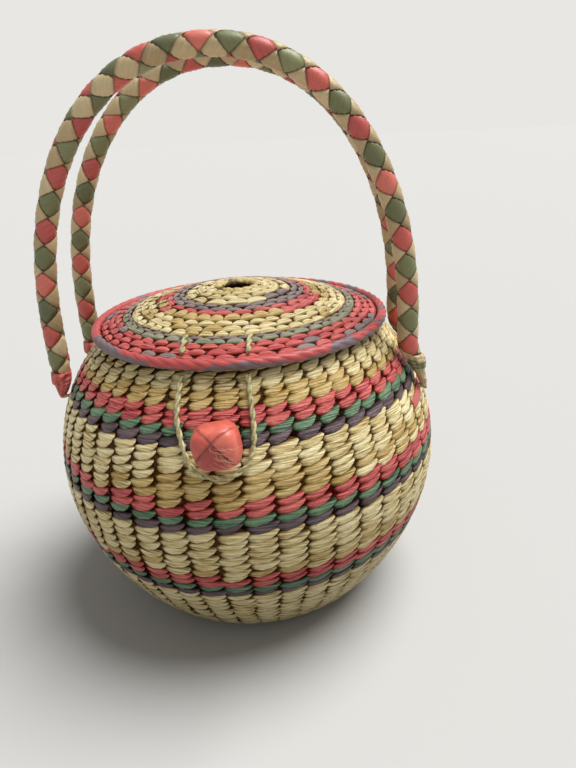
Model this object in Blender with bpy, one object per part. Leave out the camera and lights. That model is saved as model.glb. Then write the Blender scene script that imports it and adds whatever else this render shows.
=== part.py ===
# Lidded straw basket: a round twined basket with a domed lid, two plaited arch handles
# and a cord loop that hooks under a toggle.
# Metres, +Z up. The base stands on z = 0 and the toggle side faces -Y.

import math

import bmesh
import bpy
from mathutils import Matrix, Vector

# Clearances
SEAT_GAP = 0.0003           # between two pieces that touch
OVERRUN = 0.02              # how far a cutter runs past what it cuts
WELD = 0.000001             # points closer than this are one point

# Outline of the wall, measured on the outside of the weft
BELLY_RADIUS = 0.117
BELLY_HEIGHT = 0.0924       # height of the widest place
CROWN_RISE = 0.1071         # from the belly up to where the upper curve would close
CROWN_POWER = 2.13          # 2 is an ellipse, more is squarer
FOOT_DEPTH = 0.0345         # how far below the floor the lower curve would close
FOOT_POWER = 1.783
TURN_HEIGHT = 0.012         # below this the wall turns in to the flat base
TURN_REACH = 0.0099         # from where the straight wall would meet the floor in to the flat base
SHOULDER_REACH = 0.0345     # from the belly in to the neck, the upper edge of the top band

# Weave
WEFT_THICKNESS = 0.0024
BAND_STEP = 0.009           # longest straight step along a band
SPOKE_STEPS = 8             # straight steps of a spoke from the hub to the mouth
SPOKE_THICKNESS = 0.0016
SPOKE_WIDTH = 0.004
SPOKE_COUNT = 24
AROUND = 32                 # sides of every round of weft

# Bands of the body from the neck down, each with its share of rows.
# The rows divide the whole wall from the neck to the base.
BODY_BANDS = ("weft_natural_neck", "weft_ochre",
              "weft_pink_high", "weft_green_high", "weft_purple_high", "weft_natural_mid",
              "weft_pink_mid", "weft_green_mid", "weft_purple_mid", "weft_natural_low",
              "weft_pink_low", "weft_green_low", "weft_purple_low", "weft_natural_foot")
BODY_BAND_ROW_SHARES = (1.02, 3.2, 2.0, 1.1, 1.15, 5.8,
                        1.95, 1.0, 1.0, 6.35,
                        1.95, 1.02, 1.02, 16.3)

# Mouth border and foundation
BORDER_RADIUS = 0.0029
HUB_RADIUS = 0.03           # foundation disc from which the spokes start
MOUTH_SIDES = 8

# Lid
RIM_WIDTH = 0.0044
RIM_HEIGHT = 0.007
RIM_PLAY = 0.0015           # between the mouth border and the rim that drops round it
DOME_RISE = 0.018
DOME_POWER = 1.7
HOLE_RADIUS = 0.0095
HOLE_EDGE_RADIUS = 0.0023
LID_HUB_WIDTH = 0.0035
LID_SPOKE_THICKNESS = 0.0014
LID_SPOKE_WIDTH = 0.003
LID_SPOKE_FREE = 0.001      # from a spoke's end to the mouth border
LID_SPOKE_STEPS = 3
LID_BANDS = ("lid_natural_inner", "lid_purple", "lid_pink_inner", "lid_ochre",
             "lid_natural_outer", "lid_green", "lid_pink_outer")
LID_BAND_ROW_SHARES = (4.2, 1.6, 1.05, 1.5, 3.2, 1.4, 2.9)

# Lid hinge: a cord staple through the wall, and an eye of cord through the rim
HINGE_BACK_SET = 0.0002     # hinge line behind the middle of the rim
HINGE_CORD_RADIUS = 0.0009
HINGE_EYE_RADIUS = 0.0008   # half the thickness of the eye's cord
HINGE_EYE_OFFSET = 0.023    # from the middle plane to each eye
HINGE_STAPLE_WIDTH = 0.01
HINGE_DROP = 0.0007         # hinge line below the bottom of the rim
HINGE_BEND = 0.0012
HINGE_TAIL = 0.002          # what stands out inside the wall
EYE_POINTS = 14

# Handles
ARCH_INSET = 0.015          # from the belly in to the middle of a straight leg
ARCH_RISE = 0.145
ARCH_LIFT = 0.0035          # from the neck up to where the arch starts and the straight legs end
ARCH_POWER = 2.15
ARCH_SHIFT = -0.004         # the arches sit a little towards the left foot
PLAIT_RADIUS = 0.0059
PLAIT_THICKNESS = 0.0017
PLAIT_SIDES = 8
PLAIT_STATIONS = 30
WRAP_RISE = 0.0115          # from the pivot up to where the plait ends and the wrapping begins
WRAP_STATIONS = 5
WRAP_SIDES = 10
PIVOT_ROW_SHARE = 0.18      # place of the pivot in its band, as a share of the band from its upper edge
FOOT_THICKNESS = 0.006
FOOT_WIDTH = 0.012
FOOT_STANDOFF = 0.0008      # between the wall and the foot that swings over it
FOOT_TOE = 0.005            # foot below its pivot
PATH_STEP = 0.001
SMOOTH_PASSES = 12
TOE_SECTION_SHARES = ((0.55, 0.9), (1.0, 0.55))   # place below the pivot, size of section

# Foot anchors
ANCHOR_RADIUS = 0.0015
KNOT_RADIUS = 0.0035
KNOT_PLAY = 0.0007
KNOT_STEPS = 5
CORD_SIDES = 10

# Toggle
TOGGLE_WIDTH = 0.0218
TOGGLE_DEPTH = 0.017
TOGGLE_RISE = 0.0205
TOGGLE_ROUND = 0.0042
TOGGLE_ROLL = math.radians(8)
TOGGLE_STANDOFF = 0.0006    # from the widest wall behind the toggle to its back
STEM_RADIUS = 0.0013

# Closure loop: places of the cord as it lies on the wall, x and how far below the neck
LOOP_CORD_RADIUS = 0.0015
LOOP_STANDOFF = 0.0004
LOOP_ROUTE = ((-0.0205, 0.0037), (-0.0215, 0.0105), (-0.0218, 0.0185), (-0.0200, 0.0260),
              (-0.0178, 0.0330), (-0.0140, 0.0390), (-0.0080, 0.0423), (-0.0010, 0.0433),
              (0.0060, 0.0420), (0.0115, 0.0383), (0.0148, 0.0325), (0.0158, 0.0255),
              (0.0153, 0.0180), (0.0143, 0.0105), (0.0130, 0.0037))
LOOP_STEPS = 3              # points of the cord for each stretch of the route
STITCH_LENGTH = 0.0134      # each of the two stitches over the lid
STITCH_INSET = 0.0028       # from the lid's edge in to a stitch
STITCH_POINTS = 9
STITCH_LOW_SHARE = 0.75     # height of a stitch's middle over the lid in cord radii, at its ends
STITCH_BOW_SHARE = 0.45     # and what its bow adds

HEX_COLOURS = {
    "natural": "#DCC88E", "ochre": "#C9A24B", "pink": "#CB5560", "green": "#5F8A6E",
    "purple": "#5A4658", "purple_grey": "#8A7A78", "olive": "#7C8464", "spoke": "#C9B27C",
    "plait": "#C2936C", "wrap": "#C25A4E", "core": "#B59A66", "cord": "#B9B184",
    "toggle": "#DD6050", "rim": "#C0505E",
}


def clear_scene():
    for item in list(bpy.data.objects):
        bpy.data.objects.remove(item, do_unlink=True)


def linear_colour(code):
    values = [int(code[i:i + 2], 16) / 255 for i in (1, 3, 5)]
    return [v / 12.92 if v <= 0.04045 else ((v + 0.055) / 1.055) ** 2.4 for v in values] + [1.0]


def straw(piece, colour):
    """Each piece has its own dull straw material."""
    material = bpy.data.materials.new(piece.name)
    material.use_nodes = True
    shader = material.node_tree.nodes["Principled BSDF"]
    shader.inputs["Base Color"].default_value = linear_colour(HEX_COLOURS[colour])
    shader.inputs["Roughness"].default_value = 0.6
    shader.inputs["Metallic"].default_value = 0.0
    piece.data.materials.append(material)


# Making meshes

def finished(name, mesh, colour, smooth_angle=math.radians(40)):
    piece = bpy.data.objects.new(name, mesh)
    bpy.context.scene.collection.objects.link(piece)
    mesh.shade_smooth()
    mesh.set_sharp_from_angle(angle=smooth_angle)
    if colour:
        straw(piece, colour)
    return piece


def mesh_of(name, bm):
    bmesh.ops.recalc_face_normals(bm, faces=bm.faces)
    mesh = bpy.data.meshes.new(name)
    bm.to_mesh(mesh)
    bm.free()
    return mesh


def turned(name, outline, colour, sides=AROUND, place=None):
    """Spin an outline of (radius, height) about +Z. One that starts and ends on the axis stays open."""
    bm = bmesh.new()
    points = [bm.verts.new((radius, 0, height)) for radius, height in outline]
    on_axis = outline[0][0] == 0 and outline[-1][0] == 0
    pairs = list(zip(points, points[1:])) + ([] if on_axis else [(points[-1], points[0])])
    edges = [bm.edges.new(pair) for pair in pairs]
    bmesh.ops.spin(bm, geom=points + edges, cent=(0, 0, 0), axis=(0, 0, 1), dvec=(0, 0, 0),
                   angle=math.tau, steps=sides, use_merge=True)
    bmesh.ops.remove_doubles(bm, verts=bm.verts, dist=WELD)
    if place is not None:
        bmesh.ops.transform(bm, matrix=place, verts=bm.verts)
    return finished(name, mesh_of(name, bm), colour)


def lofted(name, loops, colour, closed=False):
    """Skin loops of equal count. Closed joins the last loop to the first, otherwise both ends are capped."""
    bm = bmesh.new()
    rings = [[bm.verts.new(point) for point in loop] for loop in loops]
    count = len(rings[0])
    for first, second in list(zip(rings, rings[1:])) + ([(rings[-1], rings[0])] if closed else []):
        for i in range(count):
            j = (i + 1) % count
            bm.faces.new((first[i], first[j], second[j], second[i]))
    if not closed:
        bm.faces.new(rings[0])
        bm.faces.new(rings[-1])
    return finished(name, mesh_of(name, bm), colour)


def cord(name, points, radius, colour, cyclic=False):
    """A tube along points, with filled ends."""
    curve = bpy.data.curves.new(name, "CURVE")
    curve.dimensions = "3D"
    curve.bevel_depth = radius
    curve.bevel_resolution = 2
    curve.use_fill_caps = True
    spline = curve.splines.new("POLY")
    spline.points.add(len(points) - 1)
    for spot, point in zip(spline.points, points):
        spot.co = (*point, 1)
    spline.use_cyclic_u = cyclic
    piece = bpy.data.objects.new(name, curve)
    bpy.context.scene.collection.objects.link(piece)
    if colour:
        straw(piece, colour)
    return piece


def as_mesh(piece):
    """Replace a curve object by the mesh it draws."""
    graph = bpy.context.evaluated_depsgraph_get()
    mesh = bpy.data.meshes.new_from_object(piece.evaluated_get(graph))
    name = piece.name
    bpy.data.objects.remove(piece, do_unlink=True)
    mesh_piece = bpy.data.objects.new(name, mesh)
    bpy.context.scene.collection.objects.link(mesh_piece)
    return mesh_piece


def cutter(piece):
    piece.hide_render = True
    piece.display_type = "WIRE"
    return piece


def cut(piece, *cutters):
    for tool in cutters:
        modifier = piece.modifiers.new("cut", "BOOLEAN")
        modifier.operation = "DIFFERENCE"
        modifier.solver = "EXACT"
        modifier.object = tool


def pivot(name, place):
    """An empty on a joint's axis, which carries the pieces that swing about it."""
    empty = bpy.data.objects.new(name, None)
    empty.location = place
    bpy.context.scene.collection.objects.link(empty)
    return empty


def carry(empty, pieces):
    for piece in pieces:
        piece.data.transform(Matrix.Translation(-Vector(empty.location)))
        piece.parent = empty


# Outline of the wall

def half_and_power(height):
    if height >= BELLY_HEIGHT:
        return CROWN_RISE, CROWN_POWER
    return BELLY_HEIGHT + FOOT_DEPTH, FOOT_POWER


def wall_radius(height):
    half, power = half_and_power(height)
    share = min(abs(height - BELLY_HEIGHT) / half, 1)
    return BELLY_RADIUS * (1 - share ** power) ** (1 / power)


def wall_slope(height):
    """Growth of the radius for each unit of height."""
    half, power = half_and_power(height)
    share = abs(height - BELLY_HEIGHT) / half
    steep = BELLY_RADIUS / half * share ** (power - 1) * (1 - share ** power) ** (1 / power - 1)
    return -steep if height > BELLY_HEIGHT else steep


def crown_height(radius):
    share = radius / BELLY_RADIUS
    return BELLY_HEIGHT + CROWN_RISE * (1 - share ** CROWN_POWER) ** (1 / CROWN_POWER)


def neck_height():
    return crown_height(BELLY_RADIUS - SHOULDER_REACH)


def corner_radius():
    """Where the wall above the turn would meet the floor if it ran on straight."""
    return wall_radius(TURN_HEIGHT) - wall_slope(TURN_HEIGHT) * TURN_HEIGHT


def base_radius():
    return corner_radius() - TURN_REACH


def arch_half_width():
    return BELLY_RADIUS - ARCH_INSET


def arch_base_height():
    return neck_height() + ARCH_LIFT


class Outline:
    """A line of (radius, height) points, read by its length. Its normal points out of the basket."""

    def __init__(self, points):
        self.points = [Vector(point) for point in points]
        self.lengths = [0.0]
        for first, second in zip(self.points, self.points[1:]):
            self.lengths.append(self.lengths[-1] + (second - first).length)
        self.length = self.lengths[-1]

    def at(self, length):
        index = 0
        while index < len(self.points) - 2 and self.lengths[index + 1] < length:
            index += 1
        first, second = self.points[index], self.points[index + 1]
        step = second - first
        share = (length - self.lengths[index]) / step.length
        along = step.normalized()
        return first + step * share, Vector((-along.y, along.x))

    def inside(self, length, depth):
        point, normal = self.at(length)
        return point - normal * depth


def wall_outline():
    top = neck_height()
    steps = round((top - TURN_HEIGHT) / PATH_STEP)
    heights = [top + (TURN_HEIGHT - top) * k / steps for k in range(steps + 1)]
    points = [(wall_radius(height), height) for height in heights]
    turn_steps = round((TURN_REACH + TURN_HEIGHT) / PATH_STEP)
    start, middle, end = Vector(points[-1]), Vector((corner_radius(), 0)), Vector((base_radius(), 0))
    for k in range(1, turn_steps + 1):
        t = k / turn_steps
        points.append(start * (1 - t) ** 2 + middle * 2 * t * (1 - t) + end * t * t)
    return Outline(points)


def band_loop(outline, start, end, thickness):
    """Closed outline of one band of weft between two lengths along the wall."""
    steps = max(1, round((end - start) / BAND_STEP))
    lengths = [start + (end - start) * k / steps for k in range(steps + 1)]
    outer = [outline.inside(length, 0) for length in lengths]
    inner = [outline.inside(length, thickness) for length in lengths]
    return [tuple(point) for point in outer + inner[::-1]]


def bands(outline, names, edges):
    """One closed ring for each band, with the seat gap shared between two neighbours."""
    made = {}
    for name, start, end in zip(names, edges, edges[1:]):
        loop = band_loop(outline, start + SEAT_GAP / 2, end - SEAT_GAP / 2, WEFT_THICKNESS)
        colour = next(word for word in ("natural", "ochre", "pink", "green", "purple") if word in name)
        if name == "lid_purple":
            colour = "purple_grey"
        made[name] = turned(name, loop, "olive" if name == "lid_green" else colour)
    return made


def circle(centre, radius, sides, tall=None):
    """Outline of a round or oval section, flat sides up so that neighbours stay parallel."""
    tall = radius if tall is None else tall
    turn = math.pi / sides
    return [(centre[0] + radius * math.cos(turn + math.tau * k / sides),
             centre[1] + tall * math.sin(turn + math.tau * k / sides)) for k in range(sides)]


def spoke_cage(name, hub_inner, stations, count, width, colour):
    """A hub with flat spokes that run out from every second side of it.

    stations hold the two faces of a spoke as ((radius, height), (radius, height)),
    and the first station is the hub's own edge. The spokes lie between the middle planes."""
    bm = bmesh.new()
    sides = 2 * count
    turn = math.tau / sides

    def ring(radius, height):
        return [bm.verts.new((radius * math.cos((k - 0.5) * turn + turn),
                              radius * math.sin((k - 0.5) * turn + turn), height))
                for k in range(sides)]

    (outer_radius, low), (_, high) = stations[0]
    lower, upper = ring(outer_radius, low), ring(outer_radius, high)
    if hub_inner:
        inner_lower, inner_upper = ring(hub_inner, low), ring(hub_inner, high)
    else:
        bm.faces.new(lower)
        bm.faces.new(upper)
    for k in range(sides):
        j = (k + 1) % sides
        if hub_inner:
            bm.faces.new((inner_lower[k], inner_lower[j], inner_upper[j], inner_upper[k]))
            bm.faces.new((inner_lower[k], inner_lower[j], lower[j], lower[k]))
            bm.faces.new((inner_upper[k], inner_upper[j], upper[j], upper[k]))
        section = [lower[k], lower[j], upper[j], upper[k]]
        if k % 2 == 0:
            angle = (k + 1) * turn
            out = Vector((math.cos(angle), math.sin(angle), 0))
            side = Vector((-math.sin(angle), math.cos(angle), 0))
            for near, far in stations[1:]:
                half = min(width, near[0] * turn) / 2
                corners = ((near, -half), (near, half), (far, half), (far, -half))
                new = [bm.verts.new(out * spot[0] + side * shift + Vector((0, 0, spot[1])))
                       for spot, shift in corners]
                for i in range(4):
                    bm.faces.new((section[i], section[(i + 1) % 4], new[(i + 1) % 4], new[i]))
                section = new
        bm.faces.new(section)
    return finished(name, mesh_of(name, bm), colour)


# Body of the basket

def divided(length, shares):
    """Edges of bands along a length that the shares divide."""
    edges = [0.0]
    for share in shares:
        edges.append(edges[-1] + share / sum(shares) * length)
    return edges


def band_height(outline, name, place_share):
    """Height of the wall at a place in a band of the body, counted from the band's upper edge."""
    edges = divided(outline.length, BODY_BAND_ROW_SHARES)
    index = BODY_BANDS.index(name)
    return outline.at(edges[index] + (edges[index + 1] - edges[index]) * place_share)[0].y


def pivot_height(outline):
    return band_height(outline, "weft_natural_mid", PIVOT_ROW_SHARE)


def handle_spread(outline):
    """Each handle in front of or behind the middle, with its feet midway between two spokes."""
    return wall_radius(pivot_height(outline)) * math.sin(math.tau / SPOKE_COUNT)


def stem_height(outline):
    return band_height(outline, "weft_green_high", 1 / 2)


def border_centre(outline):
    point, normal = outline.at(0)
    along = Vector((normal.y, -normal.x))
    return point - along * (SEAT_GAP + BORDER_RADIUS) - normal * WEFT_THICKNESS / 2


def base_disc():
    radius = base_radius() - SEAT_GAP / 2
    return turned("base_disc", [(0, 0), (radius, 0), (radius, WEFT_THICKNESS), (0, WEFT_THICKNESS)],
                  "natural")


def foundation_spokes(outline):
    """Spokes lie against the inside of the weft, whose flat sides come closer than its corners."""
    flat = math.cos(math.pi / AROUND)
    depth = WEFT_THICKNESS + SEAT_GAP
    stations = [((HUB_RADIUS, depth), (HUB_RADIUS, depth + SPOKE_THICKNESS))]
    for k in range(SPOKE_STEPS + 1):
        length = max(outline.length * (1 - k / SPOKE_STEPS), SEAT_GAP)
        near, far = outline.inside(length, depth), outline.inside(length, depth + SPOKE_THICKNESS)
        shrink = near.x * (1 - flat)
        stations.append(((near.x - shrink, near.y), (far.x - shrink, far.y)))
    return spoke_cage("foundation_spokes", 0, stations, SPOKE_COUNT, SPOKE_WIDTH, "spoke")


# Lid

def rim_centre_radius(outline):
    return border_centre(outline).x + BORDER_RADIUS + RIM_PLAY + RIM_WIDTH / 2


def lid_edge_radius(outline):
    return rim_centre_radius(outline) - RIM_WIDTH / 2 - SEAT_GAP


def lid_height(outline, radius):
    """Top of the lid, set so that its underside rests on the mouth border."""
    edge = lid_edge_radius(outline)
    crest = border_centre(outline)
    slope = DOME_RISE * DOME_POWER / edge * (crest.x / edge) ** (DOME_POWER - 1)
    stack = (BORDER_RADIUS + SEAT_GAP + WEFT_THICKNESS) * math.sqrt(1 + slope ** 2)
    over_crest = DOME_RISE * (1 - (crest.x / edge) ** DOME_POWER)
    return crest.y + stack - over_crest + DOME_RISE * (1 - (radius / edge) ** DOME_POWER)


def lid_outline(outline):
    start = HOLE_RADIUS + 2 * HOLE_EDGE_RADIUS + SEAT_GAP
    end = lid_edge_radius(outline)
    steps = round((end - start) / PATH_STEP)
    radii = [start + (end - start) * k / steps for k in range(steps + 1)]
    return Outline([(radius, lid_height(outline, radius)) for radius in radii])


def rim_centre_height(outline):
    return lid_height(outline, lid_edge_radius(outline)) - WEFT_THICKNESS


def hinge_line(outline):
    """Height and depth of the hinge line, in the gap under the back of the rim."""
    return Vector((0, rim_centre_radius(outline) + HINGE_BACK_SET,
                   rim_centre_height(outline) - RIM_HEIGHT / 2 - HINGE_DROP))


def lid_spokes(outline, top):
    depth = WEFT_THICKNESS + SEAT_GAP
    hub_start = top.points[0].x
    hub_end = hub_start + LID_HUB_WIDTH
    reach = border_centre(outline).x - BORDER_RADIUS - LID_SPOKE_FREE - hub_end
    hub_height = lid_height(outline, hub_end) - depth
    stations = [((hub_end, hub_height), (hub_end, hub_height - LID_SPOKE_THICKNESS))]
    for k in range(1, LID_SPOKE_STEPS + 1):
        radius = hub_end + reach * k / LID_SPOKE_STEPS
        length = next(s for s, p in zip(top.lengths, top.points) if p.x >= radius)
        near, far = top.inside(length, depth), top.inside(length, depth + LID_SPOKE_THICKNESS)
        stations.append((tuple(near), tuple(far)))
    return spoke_cage("lid_spokes", hub_start, stations, SPOKE_COUNT, LID_SPOKE_WIDTH, "spoke")


def stitch_points(outline, x):
    """A short stitch that stands on the lid and bows over the outer pink rows."""
    points = []
    radius = LOOP_CORD_RADIUS
    for k in range(STITCH_POINTS):
        share = k / (STITCH_POINTS - 1)
        out = lid_edge_radius(outline) - STITCH_INSET - STITCH_LENGTH * (1 - share)
        y = -math.sqrt(out ** 2 - x ** 2)
        lift = radius * (STITCH_LOW_SHARE + STITCH_BOW_SHARE * math.sin(math.pi * share))
        points.append(Vector((x, y, lid_height(outline, out) + SEAT_GAP + lift)))
    return points


def lid_pieces(outline):
    top = lid_outline(outline)
    made = bands(top, LID_BANDS, divided(top.length, LID_BAND_ROW_SHARES))
    edge_centre = HOLE_RADIUS + HOLE_EDGE_RADIUS
    edge_height = lid_height(outline, edge_centre) - WEFT_THICKNESS / 2
    made["lid_hole_edge"] = turned("lid_hole_edge",
                                   circle((edge_centre, edge_height), HOLE_EDGE_RADIUS, MOUTH_SIDES),
                                   "natural")
    made["lid_rim"] = turned("lid_rim",
                             circle((rim_centre_radius(outline), rim_centre_height(outline)),
                                    RIM_WIDTH / 2, MOUTH_SIDES, RIM_HEIGHT / 2), "rim")
    made["lid_spokes"] = lid_spokes(outline, top)
    for side, route_end in (("left", LOOP_ROUTE[0]), ("right", LOOP_ROUTE[-1])):
        name = side + "_loop_stitch"
        made[name] = cord(name, stitch_points(outline, route_end[0]), LOOP_CORD_RADIUS, "cord")
    return made


# Lid hinge

def staple_points(outline, x):
    """A cord that comes up through the wall, runs along the hinge line and goes down again."""
    line = hinge_line(outline)
    half = HINGE_STAPLE_WIDTH / 2
    points = []
    for side in (-1, 1):
        leg_x = x + side * half
        wall = crown_height(math.hypot(leg_x, line.y))
        facing = 1 / math.hypot(1, wall_slope(wall))
        tail = wall - WEFT_THICKNESS / facing ** 2 - HINGE_TAIL
        leg = [Vector((leg_x, line.y, tail)), Vector((leg_x, line.y, line.z - HINGE_BEND))]
        for k in (1, 2, 3):
            angle = math.pi / 2 * k / 3
            leg.append(Vector((leg_x - side * HINGE_BEND * (1 - math.cos(angle)), line.y,
                               line.z - HINGE_BEND * (1 - math.sin(angle)))))
        points += leg if side < 0 else leg[::-1]
    return points


def eye_points(outline, x):
    """An oval loop in a plane across the hinge line, round the staple and through the rim."""
    line = hinge_line(outline)
    reach = rim_centre_radius(outline)
    rim = Vector((x, math.sqrt(reach ** 2 - x ** 2), rim_centre_height(outline)))
    radius = HINGE_CORD_RADIUS + SEAT_GAP + HINGE_EYE_RADIUS
    staple = Vector((x, line.y, line.z))
    points = []
    for k in range(EYE_POINTS):
        angle = math.tau * k / EYE_POINTS
        way = Vector((0, math.cos(angle), math.sin(angle)))
        centre = staple if way.dot(staple - rim) > 0 else rim
        points.append(centre + way * radius)
    return points


# Handles

def wall_x(height, y):
    return math.sqrt(wall_radius(height) ** 2 - y ** 2)


def half_section(rise):
    """Half the thickness and half the width of a leg at some rise above its pivot."""
    share = min(max((WRAP_RISE - rise) / WRAP_RISE, 0), 1)
    share = share * share * (3 - 2 * share)
    return (PLAIT_RADIUS + (FOOT_THICKNESS / 2 - PLAIT_RADIUS) * share,
            PLAIT_RADIUS + (FOOT_WIDTH / 2 - PLAIT_RADIUS) * share)


def leg_reach(side, height, axle):
    """How far out the middle of a leg lies: on the arch's line, or further where the wall needs it."""
    straight = arch_half_width() + side * ARCH_SHIFT
    if height > neck_height():
        return straight
    reach = wall_x(height, axle.y)
    slope = wall_radius(height) * wall_slope(height) / reach
    free = half_section(height - axle.z)[0] + FOOT_STANDOFF
    return max(reach + free * math.hypot(1, slope), straight)


def leg_points(side, axle):
    """From the arch down to the toe of the foot."""
    toe = axle.z - FOOT_TOE
    top = arch_base_height()
    steps = round((top - toe) / PATH_STEP)
    heights = [top + (toe - top) * k / steps for k in range(steps + 1)]
    reaches = [leg_reach(side, height, axle) for height in heights]
    for _ in range(SMOOTH_PASSES):
        middle = [(a + 2 * b + c) / 4 for a, b, c in zip(reaches, reaches[1:], reaches[2:])]
        reaches = [reaches[0]] + middle + [reaches[-1]]
    return [Vector((side * reach, axle.y, height)) for reach, height in zip(reaches, heights)]


def arch_points(y):
    """The arch from the left leg to the right leg, a rounded curve of given power."""
    points = []
    half_width, base = arch_half_width(), arch_base_height()
    steps = round(math.pi * half_width / PATH_STEP)
    for k in range(1, steps):
        angle = math.pi * (1 - k / steps)
        out = math.copysign(abs(math.cos(angle)) ** (2 / ARCH_POWER), math.cos(angle))
        up = math.sin(angle) ** (2 / ARCH_POWER)
        points.append(Vector((ARCH_SHIFT + half_width * out, y, base + ARCH_RISE * up)))
    return points


def resampled(points, count):
    """count + 1 points at equal distances along a line."""
    lengths = [0.0]
    for first, second in zip(points, points[1:]):
        lengths.append(lengths[-1] + (second - first).length)
    result, index = [], 0
    for k in range(count + 1):
        goal = lengths[-1] * k / count
        while index < len(points) - 2 and lengths[index + 1] < goal:
            index += 1
        span = lengths[index + 1] - lengths[index]
        result.append(points[index].lerp(points[index + 1], (goal - lengths[index]) / span))
    return result


def section_loops(points, sizes, sides, turn=0.0):
    """Oval sections square to a line that lies in a plane y = constant."""
    loops = []
    for k, (point, (thick, wide)) in enumerate(zip(points, sizes)):
        along = (points[min(k + 1, len(points) - 1)] - points[max(k - 1, 0)]).normalized()
        out = Vector((along.z, 0, -along.x))
        loops.append([point + out * thick * math.cos(turn + math.tau * j / sides)
                      + Vector((0, wide * math.sin(turn + math.tau * j / sides), 0))
                      for j in range(sides)])
    return loops


def handle_pieces(end, axle, pivot_cutter):
    """Core, plaited sleeve and two foot wrappings of one handle that turns about its axle."""
    legs = {side: leg_points(side, axle) for side in (-1, 1)}
    wrap_top = axle.z + WRAP_RISE
    upper = {side: [p for p in legs[side] if p.z > wrap_top] for side in legs}
    line = upper[-1][::-1] + arch_points(axle.y) + upper[1]
    stations = resampled(line, PLAIT_STATIONS)
    count = len(stations)
    bore = PLAIT_RADIUS - PLAIT_THICKNESS
    outer = section_loops(stations, [(PLAIT_RADIUS, PLAIT_RADIUS)] * count, PLAIT_SIDES)
    inner = section_loops(stations, [(bore, bore)] * count, PLAIT_SIDES)
    core_radius = bore - SEAT_GAP
    core = section_loops(stations, [(core_radius, core_radius)] * count, PLAIT_SIDES)
    made = [lofted(end + "_core", core, "core"),
            lofted(end + "_plait", outer + inner[::-1], "plait", closed=True)]
    for side, word in ((-1, "left"), (1, "right")):
        lower = [p for p in legs[side] if axle.z <= p.z <= wrap_top - SEAT_GAP]
        spots = resampled(lower, WRAP_STATIONS)
        sizes = [half_section(p.z - axle.z) for p in spots]
        foot = spots[-1]
        toe = legs[side][-1]
        for place_share, size_share in TOE_SECTION_SHARES:
            spots.append(foot.lerp(toe, place_share))
            sizes.append((FOOT_THICKNESS / 2 * size_share, FOOT_WIDTH / 2 * size_share))
        wrap = lofted(f"{end}_{word}_wrap", section_loops(spots, sizes, WRAP_SIDES), "wrap")
        cut(wrap, pivot_cutter)
        made.append(wrap)
    return made


# Cords and knots that come through the wall

def knotted(name, knot, way, length, radius, colour):
    """A straight cord from the middle of a round knot along way, whose far end is length away."""
    start = math.asin(radius / KNOT_RADIUS)
    outline = [(0, -KNOT_RADIUS)]
    for k in range(1, KNOT_STEPS + 1):
        angle = -math.pi / 2 + (math.pi - start) * k / KNOT_STEPS
        outline.append((KNOT_RADIUS * math.cos(angle), KNOT_RADIUS * math.sin(angle)))
    outline += [(radius, length), (0, length)]
    turn = Vector((0, 0, 1)).rotation_difference(way).to_matrix().to_4x4()
    return turned(name, outline, colour, sides=CORD_SIDES, place=Matrix.Translation(knot) @ turn)


def knot_depth(height, y, radius):
    """How far in from the outside of the wall, along X, the middle of a knot lies."""
    facing = wall_x(height, y) / wall_radius(height) / math.hypot(1, wall_slope(height))
    return (WEFT_THICKNESS + KNOT_PLAY + radius) / facing


def rod(name, middle, way, radius, length):
    turn = Vector((0, 0, 1)).rotation_difference(way).to_matrix().to_4x4()
    outline = [(0, -length / 2), (radius, -length / 2), (radius, length / 2), (0, length / 2)]
    return turned(name, outline, None, sides=CORD_SIDES, place=Matrix.Translation(middle) @ turn)


def foot_anchor(name, side, axle):
    foot = next(p for p in leg_points(side, axle) if p.z <= axle.z)
    knot_x = wall_x(axle.z, axle.y) - knot_depth(axle.z, axle.y, KNOT_RADIUS)
    knot = Vector((side * knot_x, axle.y, axle.z))
    length = abs(foot.x) - knot_x + FOOT_THICKNESS / 4
    return knotted(name, knot, Vector((side, 0, 0)), length, ANCHOR_RADIUS, "core")


# Toggle and loop

def toggle_back(height):
    return -(wall_radius(height - TOGGLE_RISE / 2) + TOGGLE_STANDOFF)


def toggle(height):
    bm = bmesh.new()
    bmesh.ops.create_cube(bm, size=1)
    bmesh.ops.scale(bm, vec=(TOGGLE_WIDTH, TOGGLE_DEPTH, TOGGLE_RISE), verts=bm.verts)
    bmesh.ops.bevel(bm, geom=bm.edges, offset=TOGGLE_ROUND, segments=2, profile=0.5,
                    affect="EDGES", clamp_overlap=True)
    centre = Vector((0, toggle_back(height) - TOGGLE_DEPTH / 2, height))
    place = Matrix.Translation(centre) @ Matrix.Rotation(-TOGGLE_ROLL, 4, "Y")
    bmesh.ops.transform(bm, matrix=place, verts=bm.verts)
    return finished("toggle", mesh_of("toggle", bm), "toggle")


def toggle_stem(height):
    knot_y = wall_radius(height) - knot_depth(height, 0, KNOT_RADIUS)
    length = abs(toggle_back(height)) - SEAT_GAP - knot_y
    return knotted("toggle_stem", Vector((0, -knot_y, height)), Vector((0, -1, 0)), length,
                   STEM_RADIUS, "cord")


def loop_points():
    """The loop's route laid on the wall, read from one smooth curve."""
    stand = LOOP_CORD_RADIUS + LOOP_STANDOFF
    laid = []
    for x, drop in LOOP_ROUTE:
        height = neck_height() - drop
        slope = wall_slope(height)
        facing = 1 / math.hypot(1, slope)
        radius = wall_radius(height) + stand * facing
        laid.append(Vector((x, -math.sqrt(radius ** 2 - x ** 2), height - stand * facing * slope)))
    points = []
    ends = [laid[0] * 2 - laid[1]] + laid + [laid[-1] * 2 - laid[-2]]
    for before, first, second, after in zip(ends, ends[1:], ends[2:], ends[3:]):
        for k in range(LOOP_STEPS):
            t = k / LOOP_STEPS
            points.append((first * 2 + (second - before) * t
                           + (before * 2 - first * 5 + second * 4 - after) * t ** 2
                           + (first * 3 - before - second * 3 + after) * t ** 3) / 2)
    return points + [laid[-1]]


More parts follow.
